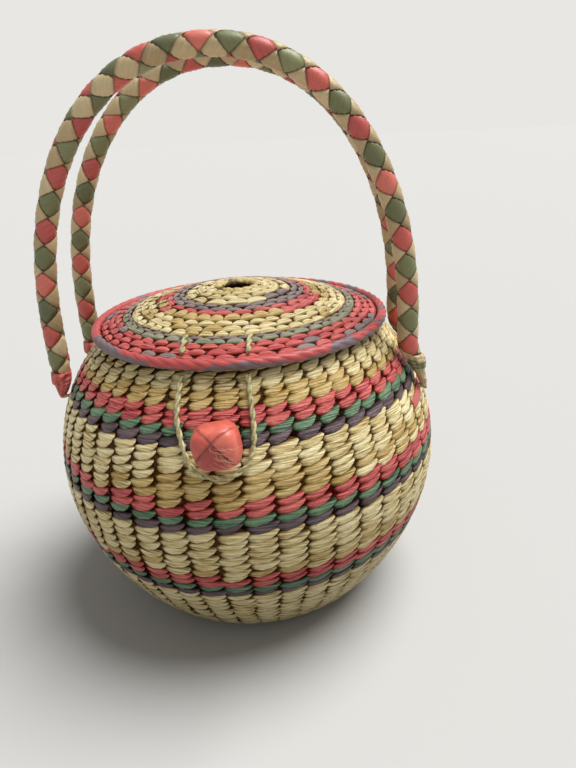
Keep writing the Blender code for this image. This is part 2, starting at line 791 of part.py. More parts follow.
def main():
    clear_scene()
    outline = wall_outline()
    line = hinge_line(outline)
    stem = stem_height(outline)

    axles = {end: Vector((0, side * handle_spread(outline), pivot_height(outline)))
             for end, side in (("front", -1), ("back", 1))}
    across = Vector((1, 0, 0))
    pivot_cutters = {end: cutter(rod(end + "_pivot_cutter", axle, across, ANCHOR_RADIUS + SEAT_GAP,
                                     2 * (BELLY_RADIUS + OVERRUN)))
                     for end, axle in axles.items()}
    stem_cutter = cutter(rod("stem_cutter", Vector((0, -wall_radius(stem), stem)), Vector((0, 1, 0)),
                             STEM_RADIUS + SEAT_GAP, 2 * OVERRUN))

    base_disc()
    foundation_spokes(outline)
    wall = bands(outline, BODY_BANDS, divided(outline.length, BODY_BAND_ROW_SHARES))
    turned("mouth_border", circle(border_centre(outline), BORDER_RADIUS, MOUTH_SIDES), "natural")
    cut(wall["weft_natural_mid"], *pivot_cutters.values())
    cut(wall["weft_green_high"], stem_cutter)
    cut(wall["weft_pink_high"], stem_cutter)

    lid = lid_pieces(outline)
    for side, word in ((-1, "left"), (1, "right")):
        x = side * HINGE_EYE_OFFSET
        staple = staple_points(outline, x)
        cord(word + "_hinge_cord", staple, HINGE_CORD_RADIUS, "cord")
        hole = cutter(as_mesh(cord(word + "_staple_cutter", staple, HINGE_CORD_RADIUS + SEAT_GAP, None)))
        cut(wall["weft_ochre"], hole)
        eye = eye_points(outline, x)
        lid[word + "_hinge_eye"] = cord(word + "_hinge_eye", eye, HINGE_EYE_RADIUS, "cord", cyclic=True)
        slot = cutter(as_mesh(cord(word + "_eye_cutter", eye, HINGE_EYE_RADIUS + SEAT_GAP, None,
                                   cyclic=True)))
        cut(lid["lid_rim"], slot)
    carry(pivot("lid_pivot", line), lid.values())

    toggle(stem)
    toggle_stem(stem)
    route = loop_points()
    loop = cord("closure_loop", route, LOOP_CORD_RADIUS, "cord")
    carry(pivot("loop_pivot", Vector((0, route[0].y, route[0].z))), [loop])

    for end, axle in axles.items():
        pieces = handle_pieces(end, axle, pivot_cutters[end])
        carry(pivot(end + "_handle_pivot", axle), pieces)
        for side, word in ((-1, "left"), (1, "right")):
            foot_anchor(f"{end}_{word}_anchor", side, axle)


main()
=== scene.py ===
import bisect
import random
from math import acos, atan2, copysign, cos, degrees, dist, exp, hypot, pi, radians, sin, sqrt, tau

import bmesh
import bpy
from mathutils import Matrix, Vector


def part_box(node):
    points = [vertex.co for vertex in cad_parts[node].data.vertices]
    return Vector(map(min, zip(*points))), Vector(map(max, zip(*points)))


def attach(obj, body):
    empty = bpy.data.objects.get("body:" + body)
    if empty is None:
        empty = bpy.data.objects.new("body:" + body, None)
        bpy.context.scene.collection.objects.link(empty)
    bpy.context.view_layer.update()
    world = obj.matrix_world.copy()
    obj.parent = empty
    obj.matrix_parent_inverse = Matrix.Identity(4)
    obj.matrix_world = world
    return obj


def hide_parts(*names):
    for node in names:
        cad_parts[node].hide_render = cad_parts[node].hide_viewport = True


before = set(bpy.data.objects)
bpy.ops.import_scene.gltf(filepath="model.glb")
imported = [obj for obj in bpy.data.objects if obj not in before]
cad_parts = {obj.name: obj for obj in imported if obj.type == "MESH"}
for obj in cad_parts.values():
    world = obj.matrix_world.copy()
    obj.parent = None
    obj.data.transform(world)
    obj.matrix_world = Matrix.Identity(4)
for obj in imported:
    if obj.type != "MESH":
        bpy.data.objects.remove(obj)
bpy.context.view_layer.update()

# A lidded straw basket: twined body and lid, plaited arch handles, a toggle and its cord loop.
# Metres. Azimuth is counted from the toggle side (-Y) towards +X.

mm = 0.001

# Camera

camera = {"place": (0.0495, -0.3653, 0.2829), "pitch": 22.84, "heading": 3.55, "roll": -3.15,
          "lens": 29.06}


def addObject(name, data):
    made = bpy.data.objects.new(name, data)
    bpy.context.scene.collection.objects.link(made)
    return made


def makeCamera():
    data = bpy.data.cameras.new("camera")
    data.lens = camera["lens"]
    data.sensor_width = 36
    eye = addObject("camera", data)
    eye.matrix_world = (Matrix.Translation(camera["place"])
                        @ Matrix.Rotation(radians(camera["heading"]), 4, "Z")
                        @ Matrix.Rotation(radians(90 - camera["pitch"]), 4, "X")
                        @ Matrix.Rotation(radians(camera["roll"]), 4, "Z"))
    bpy.context.scene.camera = eye


makeCamera()
print("camera set")


# Colours and nodes

def toLinear(code):
    parts = [int(code[k:k + 2], 16) / 255 for k in (1, 3, 5)]
    return [p / 12.92 if p <= 0.04045 else ((p + 0.055) / 1.055) ** 2.4 for p in parts] + [1.0]


def addNode(tree, kind, links={}, values={}, **settings):
    # kind is a type, or a node that is there already. A link from a node takes its first output,
    # and a value may be a hex colour.
    made = tree.nodes.new("ShaderNode" + kind) if isinstance(kind, str) else kind
    for name, value in settings.items():
        setattr(made, name, value)
    for socket, value in values.items():
        made.inputs[socket].default_value = toLinear(value) if isinstance(value, str) else value
    for socket, source in links.items():
        first = source.outputs[0] if isinstance(source, bpy.types.Node) else source
        tree.links.new(first, made.inputs[socket])
    return made


def emptyMaterial(name):
    material = bpy.data.materials.new(name)
    material.use_nodes = True
    return material, material.node_tree, material.node_tree.nodes["Principled BSDF"]


# Dyed straw, split and flattened, then twined damp: a satin skin with fine lines along each strand,
# tones that change from strand to strand, and painted shade where a stitch goes under its neighbours.
strawDyes = {
    "natural": {"light": "#FCEDBA", "mid": "#D8BF7C", "deep": "#8E6C34", "rough": 0.44},
    "ochre": {"light": "#DCC282", "mid": "#BE9B53", "deep": "#8C6C34", "rough": 0.46},
    "pink": {"light": "#E07468", "mid": "#BE464A", "deep": "#842830", "rough": 0.44},
    "green": {"light": "#78966F", "mid": "#507257", "deep": "#344C3E", "rough": 0.46},
    "purple": {"light": "#705A5E", "mid": "#4A3A40", "deep": "#2C2226", "rough": 0.44},
    "purpleGrey": {"light": "#A08F86", "mid": "#82706F", "deep": "#62535A", "rough": 0.48},
    "olive": {"light": "#A3A184", "mid": "#84866C", "deep": "#605F4E", "rough": 0.48},
}
# The real fibres are a tenth of a millimetre apart, too fine to show, so the lines are the splits
# between them. The UV map is in millimetres.
# gap is the colour of the painted shade in the gaps and under the stitches' edges
grain = {"across": 1.0, "along": 16.0, "blotch": 26 * mm, "bump": 0.4 * mm, "gap": "#4E3012"}


def strawMaterial(name, look):
    material, tree, shader = emptyMaterial(name)
    skin = addNode(tree, "UVMap", uv_map="straw")
    strand = addNode(tree, "Attribute", attribute_name="strand").outputs["Fac"]
    edge = addNode(tree, "Attribute", attribute_name="edge").outputs["Fac"]
    place = addNode(tree, "TexCoord").outputs["Object"]
    fibres = addNode(tree, "Mapping", {"Vector": skin},
                     {"Scale": (1 / grain["along"], 1 / grain["across"], 1)})
    fibres = addNode(tree, "TexNoise", {"Vector": fibres},
                     {"Scale": 1.0, "Detail": 3.0, "Roughness": 0.6})
    fibres = addNode(tree, "MapRange", {"Value": fibres},
                     {"From Min": 0.35, "From Max": 0.65, "To Max": 1.7})
    blotches = addNode(tree, "TexNoise", {"Vector": place},
                       {"Scale": 1 / grain["blotch"], "Detail": 2.0})
    # how deep the tone is: mostly set by the strand, then by its lines and the blotches of the dye
    tone = addNode(tree, "Math", {0: strand, 2: fibres}, {1: 0.5}, operation="MULTIPLY_ADD")
    tone = addNode(tree, "Math", {0: tone, 1: blotches}, operation="ADD")
    tone = addNode(tree, "MapRange", {"Value": tone}, {"From Min": 0.52, "From Max": 2.1})
    dyed = addNode(tree, "ValToRGB", {"Fac": tone})
    ramp = dyed.color_ramp.elements
    ramp[0].color, ramp[1].color = toLinear(look["deep"]), toLinear(look["light"])
    ramp.new(0.45).color = toLinear(look["mid"])
    # painted shade: the edge mask darkens the skin towards the gap colour where it lies deep or under
    # a neighbour
    worn = addNode(tree, "MapRange", {"Value": edge},
                   {"From Min": 0.2, "From Max": 0.75, "To Max": 0.96})
    shaded = addNode(tree, "Mix", {0: worn, 6: dyed}, {7: grain["gap"]},
                     data_type="RGBA", blend_type="MULTIPLY")
    # darker towards the bottom: the colour is scaled down to half at the foot
    upright = addNode(tree, "SeparateXYZ", {"Vector": place})
    lowerDarker = addNode(tree, "MapRange", {"Value": upright.outputs["Z"]},
                    {"From Min": 0.01, "From Max": 0.115, "To Min": 0.5})
    darkenedLow = addNode(tree, "VectorMath", {0: shaded.outputs[2], "Scale": lowerDarker}, operation="SCALE")
    # the skin shines; where the edge mask paints shade, its reflection is painted out too
    shine = addNode(tree, "MapRange", {"Value": edge},
                    {"From Max": 0.5, "To Min": 0.5, "To Max": 0.0})
    gloss = addNode(tree, "MapRange", {"Value": fibres},
                    {"To Min": look["rough"] + 0.09, "To Max": look["rough"] - 0.05})
    relief = addNode(tree, "Bump", {"Height": fibres}, {"Strength": 0.8, "Distance": grain["bump"]})
    addNode(tree, shader, {"Base Color": darkenedLow, "Roughness": gloss, "Specular IOR Level": shine,
                           "Normal": relief})
    return material


straws = {dye: strawMaterial(dye + "DyedStraw" if dye != "natural" else "undyedStraw", look)
          for dye, look in strawDyes.items()}


def mottledMaterial(name, light, deep, size, detail=3.0, fine=0.5, span=(0.0, 1.0),
                    bump=(0.5, 0.4 * mm), rough=0.75):
    # Straw or fibre that no hand has polished: uneven in tone, matt unless rough says otherwise.
    material, tree, shader = emptyMaterial(name)
    place = addNode(tree, "TexCoord").outputs["Object"]
    mottle = addNode(tree, "TexNoise", {"Vector": place},
                     {"Scale": 1 / size, "Detail": detail, "Roughness": fine})
    share = addNode(tree, "MapRange", {"Value": mottle}, {"From Min": span[0], "From Max": span[1]})
    mixed = addNode(tree, "Mix", {0: share}, {6: deep, 7: light}, data_type="RGBA")
    relief = addNode(tree, "Bump", {"Height": mottle}, {"Strength": bump[0], "Distance": bump[1]})
    addNode(tree, shader, {"Base Color": mixed.outputs[2], "Normal": relief}, {"Roughness": rough})
    return material


# dry brown straw in the shade of the weave
shadedStraw = mottledMaterial("shadedFoundationStraw", "#4A351D", "#26190D", 2 * mm)
# straw string: satin, pale straw to green in short stretches
twistedStraw = mottledMaterial("twistedStrawCord", "#DCD2A0", "#7A7448", 2.857 * mm, detail=4.0,
                               fine=0.65, span=(0.3, 0.7), bump=(0.6, 0.3 * mm), rough=0.5)
# straw in the sleeve of the handle, painted dark brown as shade so the gaps in the plait read dark
coreStraw = mottledMaterial("handleCoreStraw", "#5A4630", "#2E2216", 3 * mm)
# pale matt fibres, loose where the palm was folded
paleFibre = mottledMaterial("loosePalmFibre", "#EBC0A8", "#D39A84", 3 * mm)


# Putting a finished mesh in the scene

def storedMesh(name, bm):
    mesh = bpy.data.meshes.new(name)
    bm.to_mesh(mesh)
    bm.free()
    return mesh


def turnOutwards(bm):
    # recalc_face_normals guesses by the face furthest out, and guesses wrong on thin bent shells,
    # so each closed shell is then turned by its volume
    bmesh.ops.recalc_face_normals(bm, faces=bm.faces)
    bm.normal_update()
    seen = set()
    for first in bm.faces:
        if first in seen:
            continue
        shell, waiting, origin = [], [first], first.verts[0].co
        seen.add(first)
        while waiting:
            face = waiting.pop()
            shell.append(face)
            for near in [near for edge in face.edges for near in edge.link_faces]:
                if near not in seen:
                    seen.add(near)
                    waiting.append(near)
        volume = sum((face.calc_center_median() - origin).dot(face.normal) * face.calc_area()
                     for face in shell)
        if volume < 0:
            for face in shell:
                face.normal_flip()


def finished(name, bm, materials, body, nodes):
    turnOutwards(bm)
    mesh = storedMesh(name, bm)
    mesh.shade_smooth()
    piece = addObject(name, mesh)
    for material in materials:
        mesh.materials.append(material)
    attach(piece, body)
    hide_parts(*nodes)
    return piece


# Lines of the wall and the lid, as (radius, height) points with the length up to each

# the wall is two superellipses that meet at the belly, with a turned foot
wall = {"bellyRadius": 0.117, "bellyHeight": 0.0924, "crownRise": 0.1071, "crownPower": 2.13,
        "footDepth": 0.0345, "footPower": 1.783, "turnHeight": 0.012, "turnReach": 0.0099,
        "turnSteps": 22, "neckRadius": 0.0825, "thickness": 0.0024, "step": 0.001}
lid = {"holeEdge": 0.0144, "edgeRadius": 0.08341, "edgeHeight": 0.17721, "domeRise": 0.018,
       "domePower": 1.7, "step": 0.001}


def wallHalf(height):
    if height >= wall["bellyHeight"]:
        return wall["crownRise"], wall["crownPower"]
    return wall["bellyHeight"] + wall["footDepth"], wall["footPower"]


def wallRadius(height):
    half, power = wallHalf(height)
    share = min(abs(height - wall["bellyHeight"]) / half, 1)
    return wall["bellyRadius"] * (1 - share ** power) ** (1 / power)


def wallSlope(height):
    return (wallRadius(height + 0.1 * mm) - wallRadius(height - 0.1 * mm)) / (0.2 * mm)


def neckHeight():
    share = wall["neckRadius"] / wall["bellyRadius"]
    power = wall["crownPower"]
    return wall["bellyHeight"] + wall["crownRise"] * (1 - share ** power) ** (1 / power)


def measured(points):
    lengths = [0.0]
    for near, far in zip(points, points[1:]):
        lengths.append(lengths[-1] + dist(near, far))
    return points, lengths


def bodyLine():
    top, turn = neckHeight(), wall["turnHeight"]
    steps = round((top - turn) / wall["step"])
    points = [(wallRadius(top + (turn - top) * k / steps), top + (turn - top) * k / steps)
              for k in range(steps + 1)]
    corner = wallRadius(turn) - wallSlope(turn) * turn
    base = corner - wall["turnReach"]
    start, middle, end = Vector(points[-1]), Vector((corner, 0)), Vector((base, 0))
    for k in range(1, wall["turnSteps"] + 1):
        t = k / wall["turnSteps"]
        points.append(tuple(start * (1 - t) ** 2 + middle * 2 * t * (1 - t) + end * t * t))
    wallLength = measured(points)[1][-1]
    steps = round(base / wall["step"])
    points += [(base * (1 - k / steps), 0.0) for k in range(1, steps + 1)]
    return measured(points), wallLength


def lidLine():
    start, end = lid["holeEdge"], lid["edgeRadius"]
    steps = round((end - start) / lid["step"])
    radii = [start + (end - start) * k / steps for k in range(steps + 1)]
    return measured([(radius, lidHeight(radius)) for radius in radii])


def lidHeight(radius):
    share = radius / lid["edgeRadius"]
    return lid["edgeHeight"] + lid["domeRise"] * (1 - share ** lid["domePower"])


def onLine(line, length):
    points, lengths = line
    index = min(max(bisect.bisect_right(lengths, length) - 1, 0), len(points) - 2)
    near, far = points[index], points[index + 1]
    span = lengths[index + 1] - lengths[index]
    share = (length - lengths[index]) / span
    along = ((far[0] - near[0]) / span, (far[1] - near[1]) / span)
    return (near[0] + (far[0] - near[0]) * share, near[1] + (far[1] - near[1]) * share,
            -along[1], along[0])


bodyPath, wallLength = bodyLine()
lidPath = lidLine()


def laid(line, length, azimuth, out):
    radius, height, outRadius, outHeight = onLine(line, length)
    radius += outRadius * out
    return Vector((radius * sin(azimuth), -radius * cos(azimuth),
                   max(height + outHeight * out, 0.0)))


# Twined stitches. Each is a closed leaf, pulled from a round ball: its left end is tucked
# under the stitch before it, and its right end rises to a blunt point.

# Lengths are in columns, heights in rows; the rest is how far the skin stands out or goes in.
# front and inside are the sides and rings of the ball. On the body a stitch hangs like a smile over
# the row below. On the lid it is a hump over the row inside it.
stitch = {"crest": 0.3 * mm, "edge": 1.6 * mm, "tuck": 2.2 * mm, "dip": 0.1 * mm, "point": 0.3 * mm,
          "deepest": 1.3 * mm, "back": 0.2 * mm, "shake": 0.11, "uneven": 0.1 * mm,
          "front": (8, 6), "inside": (6, 4),
          "body": {"length": 1.32, "height": 0.92, "rise": 0.26, "sag": 0.3, "cut": -0.03,
                   "shingle": 0.6 * mm},
          "lid": {"length": 1.36, "height": 0.82, "rise": 0.16, "sag": -0.3, "cut": -0.05,
                  "shingle": -0.65 * mm}}
chance = random.Random(4)


def newWeave():
    bm = bmesh.new()
    layers = {name: bm.verts.layers.float.new(name) for name in ("strand", "edge")}
    layers["skin"] = bm.loops.layers.uv.new("straw")
    return bm, layers


def roundBall(sides):
    bm = bmesh.new()
    bmesh.ops.create_uvsphere(bm, u_segments=sides[0], v_segments=sides[1], radius=1)
    return storedMesh("ball", bm)


balls = {name: roundBall(stitch[name]) for name in ("front", "inside")}


def copies(bm, shape, count):
    # the new copies of a small mesh, each as its list of vertices
    first, size = len(bm.verts), len(shape.vertices)
    for k in range(count):
        bm.from_mesh(shape)
    bm.verts.ensure_lookup_table()
    return [bm.verts[first + k * size:first + (k + 1) * size] for k in range(count)]


def coat(vert, layers, strand, edge, along, across):
    vert[layers["strand"]] = strand
    vert[layers["edge"]] = edge
    for loop in vert.link_loops:
        loop[layers["skin"]].uv = (along, across)


def paint(verts, index):
    for face in {face for vert in verts for face in vert.link_faces}:
        face.material_index = index


def shapeStitch(verts, layers, place, pitch, row, look, dye, tone):
    shake = stitch["shake"]
    size = 1 + chance.uniform(-1, 1) * shake
    rise = (look["rise"] + chance.uniform(-1, 1) * shake) * row
    lift = chance.uniform(-1, 1) * shake * row
    shift = chance.uniform(-1, 1) * shake * pitch * 0.6
    height = chance.uniform(-1, 1) * stitch["uneven"]
    start = chance.uniform(0, 900)
    for vert in verts:
        s = 1 - 2 * acos(max(-1.0, min(1.0, vert.co.z))) / pi
        ring = hypot(vert.co.x, vert.co.y)
        pole = ring < 1e-6
        t, front = (0.0, 0.0) if pole else (vert.co.x / ring, vert.co.y / ring)
        s = sin(s * pi / 2) if s > 0 else s
        half = (1 - max(0.0, s) ** 3) ** 0.65 * min(1.0, s + 1) ** 0.4
        u = (s * look["length"] / 2 * size - t * look["cut"] * max(0.0, s)) * pitch + shift
        v = (look["height"] * half * t * size + look["sag"] * (s * s - 0.35)) * row + rise * s + lift
        top = (stitch["crest"] - stitch["tuck"] * max(0.0, -(s + 0.1) / 0.9) ** 1.3
               - stitch["dip"] * max(0.0, s) ** 2)
        rim = stitch["edge"] * (1 - 0.4 * max(0.0, s))
        drop = (stitch["point"] if s > 0 else rim) if pole else rim * abs(t) ** 2.3
        w = top - drop - look["shingle"] * t * (1 - 0.5 * max(0.0, s))
        if front < -0.01:
            w = top - stitch["edge"] * 1.2 + stitch["back"] * front
        vert.co = place(u, v, max(w + height, -stitch["deepest"]))
        # painted shade: the edge attribute is darkest where the skin lies deep, on the edge under the
        # next stitch and on the hidden back
        under = t * look["shingle"] > 0
        deep = max(0.0, min(1.0, (-w - 0.02 * mm) / (0.7 * mm)))
        hidden = max(deep, abs(t) ** 4 * (0.8 if under else 0.4) if front >= -0.01 else 1.0)
        coat(vert, layers, tone, min(1.0, hidden), start + u / mm, start + v / mm)
    paint(verts, dye)


def weaveRow(bm, layers, line, middle, row, columns, look, dye, inward=False, phase=0.0,
             shape="front"):
    radius = onLine(line, middle)[0]
    pitch = tau * radius / columns
    for column, verts in enumerate(copies(bm, balls["inside" if inward else shape], columns)):
        azimuth = tau * (column + phase) / columns

        def place(u, v, w):
            out = -wall["thickness"] - w if inward else w
            return laid(line, middle - v, azimuth + u / radius, out)

        shapeStitch(verts, layers, place, pitch, row, stitch[look], dye(azimuth), chance.random())


# Bands from the neck down: node, rows of weft, dyes of those rows, share of the wall
bodyBands = (
    ("weft_natural_neck", ("natural",), 1.02), ("weft_ochre", ("ochre",) * 3, 3.2),
    ("weft_pink_high", ("pink",) * 2, 2.0), ("weft_green_high", ("green",), 1.1),
    ("weft_purple_high", ("purple",), 1.15), ("weft_natural_mid", ("natural",) * 6, 5.8),
    ("weft_pink_mid", ("pink",) * 2, 1.95), ("weft_green_mid", ("green",), 1.0),
    ("weft_purple_mid", ("purple",), 1.0), ("weft_natural_low", ("natural",) * 6, 6.35),
    ("weft_pink_low", ("pink",) * 2, 1.95), ("weft_green_low", ("green",), 1.02),
    ("weft_purple_low", ("purple",), 1.02), ("weft_natural_foot", ("natural",) * 16, 16.3))
# The lid's line runs outwards from its hole: node, dyes of its rows, share of the line
lidBands = (
    ("lid_natural_inner", ("natural",) * 3, 4.2), ("lid_purple", ("purpleGrey",) * 2, 1.6),
    ("lid_pink_inner", ("pink",), 1.05), ("lid_ochre", ("ochre",), 1.5),
    ("lid_natural_outer", ("natural",) * 3, 3.2), ("lid_green", ("purpleGrey", "olive"), 1.4),
    ("lid_pink_outer", ("pink",) * 3, 2.9))
thinRows = {"lid_green": (0.4, 1.0)}
# Dyes that have run into a band from its neighbours
runDyes = {"weft_natural_mid": ["ochre"], "weft_natural_low": ["ochre"], "weft_ochre": ["natural"],
           "weft_pink_high": ["ochre"], "weft_pink_mid": ["ochre"], "weft_pink_low": ["natural"],
           "lid_natural_inner": ["purpleGrey"], "lid_ochre": ["pink"], "lid_natural_outer": ["ochre"],
           "lid_pink_outer": ["purpleGrey"]}


def stainedRow(node, k, dye, dyes):
    # some stitches took the dye of the row beside them, most of them in front, near the toggle
    def dyeAt(azimuth):
        away = abs((degrees(azimuth) + 178) % 360 - 180)
        rightSide = 35 < degrees(azimuth) < 85
        stray = chance.random()
        stained = ((node == "weft_natural_mid" and k > 2
                    and (away < 9 + 4 * k or stray < 0.1 * (k - 2)))
                   or (node == "weft_natural_low" and k > 3 and stray < 0.35)
                   or (node == "weft_ochre" and k < 2 and (k == 0 or away > 40))
                   or (node.startswith("weft_pink") and k == 0 and stray < 0.14)
                   or (node == "lid_natural_inner" and k == 2 and rightSide)
                   or (node == "lid_ochre" and (rightSide or stray < 0.2))
                   or (node == "lid_natural_outer" and stray < 0.15)
                   or (node == "lid_pink_outer" and stray < (0.35 if k == 2 else 0.06)))
        return dyes.index(runDyes[node][0] if stained else dye)
    return dyeAt


def weaveBands(line, length, bands, body, columnsAt, stagger):
    start, count = 0.0, 0
    total = sum(band[2] for band in bands)
    for node, rowDyes, share in bands:
        width = share / total * length
        dyes = list(dict.fromkeys(rowDyes)) + runDyes.get(node, [])
        weights = thinRows.get(node, (1,) * len(rowDyes))
        bm, layers = newWeave()
        for k, (dye, weight) in enumerate(zip(rowDyes, weights)):
            row = width * weight / sum(weights)
            middle = start + row / 2
            columns = columnsAt(onLine(line, middle)[0])
            phase = 0.5 if stagger and count % 2 else 0.0
            for inward in (False, True):
                weaveRow(bm, layers, line, middle, row, columns, "lid" if stagger else "body",
                         stainedRow(node, k, dye, dyes), inward, phase)
            start += row
            count += 1
        piece = "".join(word.title() for word in node.replace("weft_", "").split("_"))
        finished(piece[0].lower() + piece[1:] + "Stitches", bm, [straws[dye] for dye in dyes], body,
                 [node])


# a thin shell between the two layers of stitches, where the spokes are, dark with painted shade
shell = {"depth": 1.05 * mm, "thick": 0.3 * mm, "steps": 40, "sides": 64}


def spun(bm, verts, edges, steps):
    bmesh.ops.spin(bm, geom=verts + edges, cent=(0, 0, 0), axis=(0, 0, 1), dvec=(0, 0, 0),
                   angle=tau, steps=steps, use_merge=True)
    bmesh.ops.remove_doubles(bm, verts=bm.verts, dist=0.001 * mm)


def backingShell(name, line, end, body, node):
    bm = bmesh.new()
    outline = [onLine(line, end * k / shell["steps"]) for k in range(shell["steps"] + 1)]
    outer, inner = ([(r - nr * depth, z - nz * depth) for r, z, nr, nz in outline]
                    for depth in (shell["depth"], shell["depth"] + shell["thick"]))
    verts = [bm.verts.new((max(r, 0.0), 0, z)) for r, z in outer + inner[::-1]]
    edges = [bm.edges.new(pair) for pair in zip(verts, verts[1:] + verts[:1])]
    spun(bm, verts, edges, shell["sides"])
    finished(name, bm, [shadedStraw], body, [node])


weaveBands(bodyPath, wallLength, bodyBands, "basket", lambda r: 48, False)
print("body woven")


def weaveBase(rows):
    bm, layers = newWeave()
    row = (bodyPath[1][-1] - wallLength) / rows
    for k in range(rows):
        middle = wallLength + (k + 0.5) * row
        radius = onLine(bodyPath, middle)[0]
        columns = 48 if radius > 0.046 else 24 if radius > 0.02 else 12 if radius > 0.006 else 6
        for inward in (False, True):
            weaveRow(bm, layers, bodyPath, middle, row, columns, "body", lambda azimuth: 0, inward,
                     shape="inside")
    finished("baseStitches", bm, [straws["natural"]], "basket", ["base_disc"])


weaveBase(14)
backingShell("foundationShell", bodyPath, bodyPath[1][-1] - 0.5 * mm, "basket", "foundation_spokes")
weaveBands(lidPath, lidPath[1][-1], lidBands, "lid",
           lambda r: 48 if r > 0.061 else 36 if r > 0.046 else 24 if r > 0.032 else 16, True)
backingShell("lidShell", lidPath, lidPath[1][-1], "lid", "lid_spokes")
print("base and lid woven")


# Wrapped edges: a strip wound round and round a ring, each turn a little over the last

borders = {
    "mouthBorder": {"radius": 0.0793, "height": 0.1727, "half": (0.0029, 0.0029), "wraps": 72,
                    "slant": 1, "node": "mouth_border", "body": "basket", "slot": "natural"},
    "lidRim": {"radius": 0.0857, "height": 0.1761, "half": (0.0025, 0.0027), "wraps": 64,
               "slant": 4, "node": "lid_rim", "body": "lid", "slot": "rim"},
    "holeEdge": {"radius": 0.0118, "height": 0.1932, "half": (0.0023, 0.0023), "wraps": 14,
                 "slant": 1, "node": "lid_hole_edge", "body": "lid", "slot": "natural"}}
wrapShape = {"sides": 14, "perWrap": 6, "proud": 0.35 * mm, "sink": 0.35 * mm}


def wrappedMaterial(name, upper, lower, height):
    # The same straw wound as a binding: painted shade in a line where each turn covers the last. A
    # second colour shows in patches, mostly on the lower half.
    material, tree, shader = emptyMaterial(name)
    skin = addNode(tree, "UVMap", uv_map="straw")
    place = addNode(tree, "TexCoord").outputs["Object"]
    wobble = addNode(tree, "TexNoise", {"Vector": place}, {"Scale": 160.0, "Detail": 2.0})
    push = addNode(tree, "MapRange", {"Value": wobble}, {"To Min": -0.18, "To Max": 0.18})
    along = addNode(tree, "SeparateXYZ", {"Vector": skin}).outputs["X"]
    turn = addNode(tree, "Math", {0: along, 1: push}, operation="ADD")
    patches = addNode(tree, "TexNoise", {"Vector": place}, {"Scale": 42.0, "Detail": 3.0})
    patches = addNode(tree, "MapRange", {"Value": patches}, {"From Min": 0.4, "From Max": 0.6})
    upright = addNode(tree, "SeparateXYZ", {"Vector": place}).outputs["Z"]
    under = addNode(tree, "MapRange", {"Value": upright},
                    {"From Min": height + 2 * mm, "From Max": height - 2 * mm})
    second = addNode(tree, "Math", {0: patches, 1: under}, operation="ADD")
    second = addNode(tree, "MapRange", {"Value": second}, {"From Min": 0.8, "From Max": 0.95})
    share = addNode(tree, "Math", {0: turn}, operation="FRACT")
    colour = addNode(tree, "Mix", {0: second}, {6: upper, 7: lower}, data_type="RGBA")
    fibres = addNode(tree, "Mapping", {"Vector": skin}, {"Scale": (9.0, 1.2, 1)})
    fibres = addNode(tree, "TexNoise", {"Vector": fibres}, {"Scale": 1.0, "Detail": 3.0})
    tones = addNode(tree, "MapRange", {"Value": fibres},
                    {"From Min": 0.3, "From Max": 0.7, "To Min": 0.72, "To Max": 1.22})
    toned = addNode(tree, "VectorMath", {0: colour.outputs[2], "Scale": tones}, operation="SCALE")
    # painted shade where each turn goes under the next
    line = addNode(tree, "MapRange", {"Value": share},
                   {"From Max": 0.13, "To Min": 0.75, "To Max": 0.0})
    lined = addNode(tree, "Mix", {0: line, 6: toned}, {7: "#5A3C30"},
                    data_type="RGBA", blend_type="MULTIPLY")
    relief = addNode(tree, "Bump", {"Height": fibres}, {"Strength": 0.6, "Distance": 0.3 * mm})
    addNode(tree, shader, {"Base Color": lined.outputs[2], "Normal": relief}, {"Roughness": 0.45})
    return material


def wrappedRing(name, upper, lower):
    ring = borders[name]
    bm = bmesh.new()
    verts = bmesh.ops.create_circle(bm, segments=wrapShape["sides"], radius=1)["verts"]
    for vert in verts:
        x, y = vert.co.x, vert.co.y
        vert.co = (ring["radius"] + x * ring["half"][0], 0, ring["height"] + y * ring["half"][1])
    spun(bm, verts, list(bm.edges), ring["wraps"] * wrapShape["perWrap"])
    skin = bm.loops.layers.uv.new("straw")

    def turnOf(co):
        azimuth = atan2(co.x, -co.y) % tau
        around = atan2((co.z - ring["height"]) / ring["half"][1],
                            (hypot(co.x, co.y) - ring["radius"]) / ring["half"][0]) % tau
        return azimuth, around

    for face in bm.faces:
        centre = turnOf(face.calc_center_median())
        for loop in face.loops:
            azimuth, around = turnOf(loop.vert.co)
            azimuth += tau * round((centre[0] - azimuth) / tau)
            around += tau * round((centre[1] - around) / tau)
            turn = azimuth / tau * ring["wraps"] + ring["slant"] * around / tau
            loop[skin].uv = (turn + 10, around / tau * 4)
    for vert in bm.verts:
        azimuth, around = turnOf(vert.co)
        share = (azimuth / tau * ring["wraps"] + ring["slant"] * around / tau) % 1
        swell = sin(pi * share ** 0.7)
        flat = Vector((vert.co.x, vert.co.y, 0)).normalized()
        way = flat * cos(around) + Vector((0, 0, sin(around)))
        vert.co += way * (swell * (wrapShape["proud"] + wrapShape["sink"]) - wrapShape["sink"])
    binding = wrappedMaterial(name + "Binding", upper, lower, ring["height"])
    finished(name, bm, [binding], ring["body"], [ring["node"]])


undyed = strawDyes["natural"]["mid"]
wrappedRing("mouthBorder", undyed, undyed)
wrappedRing("lidRim", "#C2504E", "#78656A")      # pink above, purple where the dye ran under it
wrappedRing("holeEdge", undyed, "#5E4424")       # darker inside the hole: painted shade, and grime
print("edges bound")


# Cords: two plies twisted together

# Radii. In radii too: how long a full twist is, how far a ply stands off the middle, a ply's radius.
cordShape = {"closure": 0.0015, "staple": 0.0009, "eye": 0.0008, "anchor": 0.0015, "stem": 0.0013,
             "twist": 8, "plyOff": 0.46, "plyThick": 0.56}
